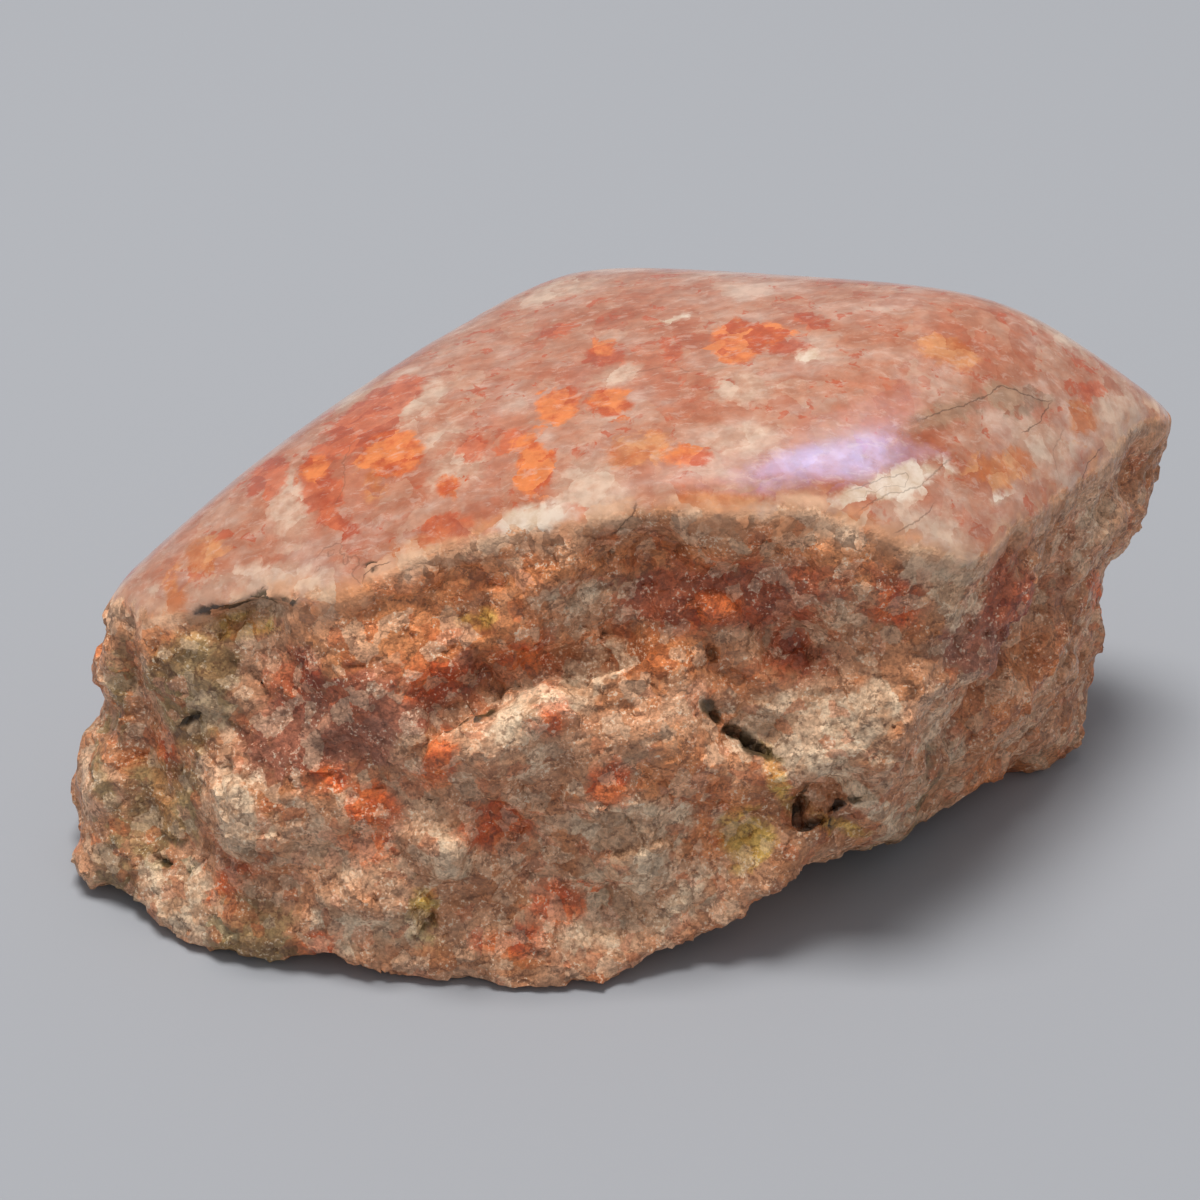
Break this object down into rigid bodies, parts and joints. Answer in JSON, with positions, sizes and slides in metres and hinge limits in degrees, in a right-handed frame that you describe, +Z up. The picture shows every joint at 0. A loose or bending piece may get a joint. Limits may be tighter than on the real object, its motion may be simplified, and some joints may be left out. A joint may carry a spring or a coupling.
{
  "type": "rough sunstone",
  "caption": "Broken lump of orange sunstone with a hand-polished domed top and rough crystalline sides, resting on small flats of its underside.",
  "frame": {"origin": "middle of the stone's plan, on the surface that it rests on", "axes": "+X along the stone's length, from the low left end to the high right end; +Y from the tall broken front to the back; +Z up"},
  "size_m": [0.1308, 0.0802, 0.0609],
  "materials": {
    "sunstone": "salmon and orange feldspar, glossy on the polished top and grainy on the broken sides"
  },
  "bodies": {
    "root": {"rough_sunstone": "sunstone"}
  },
  "joints": []
}
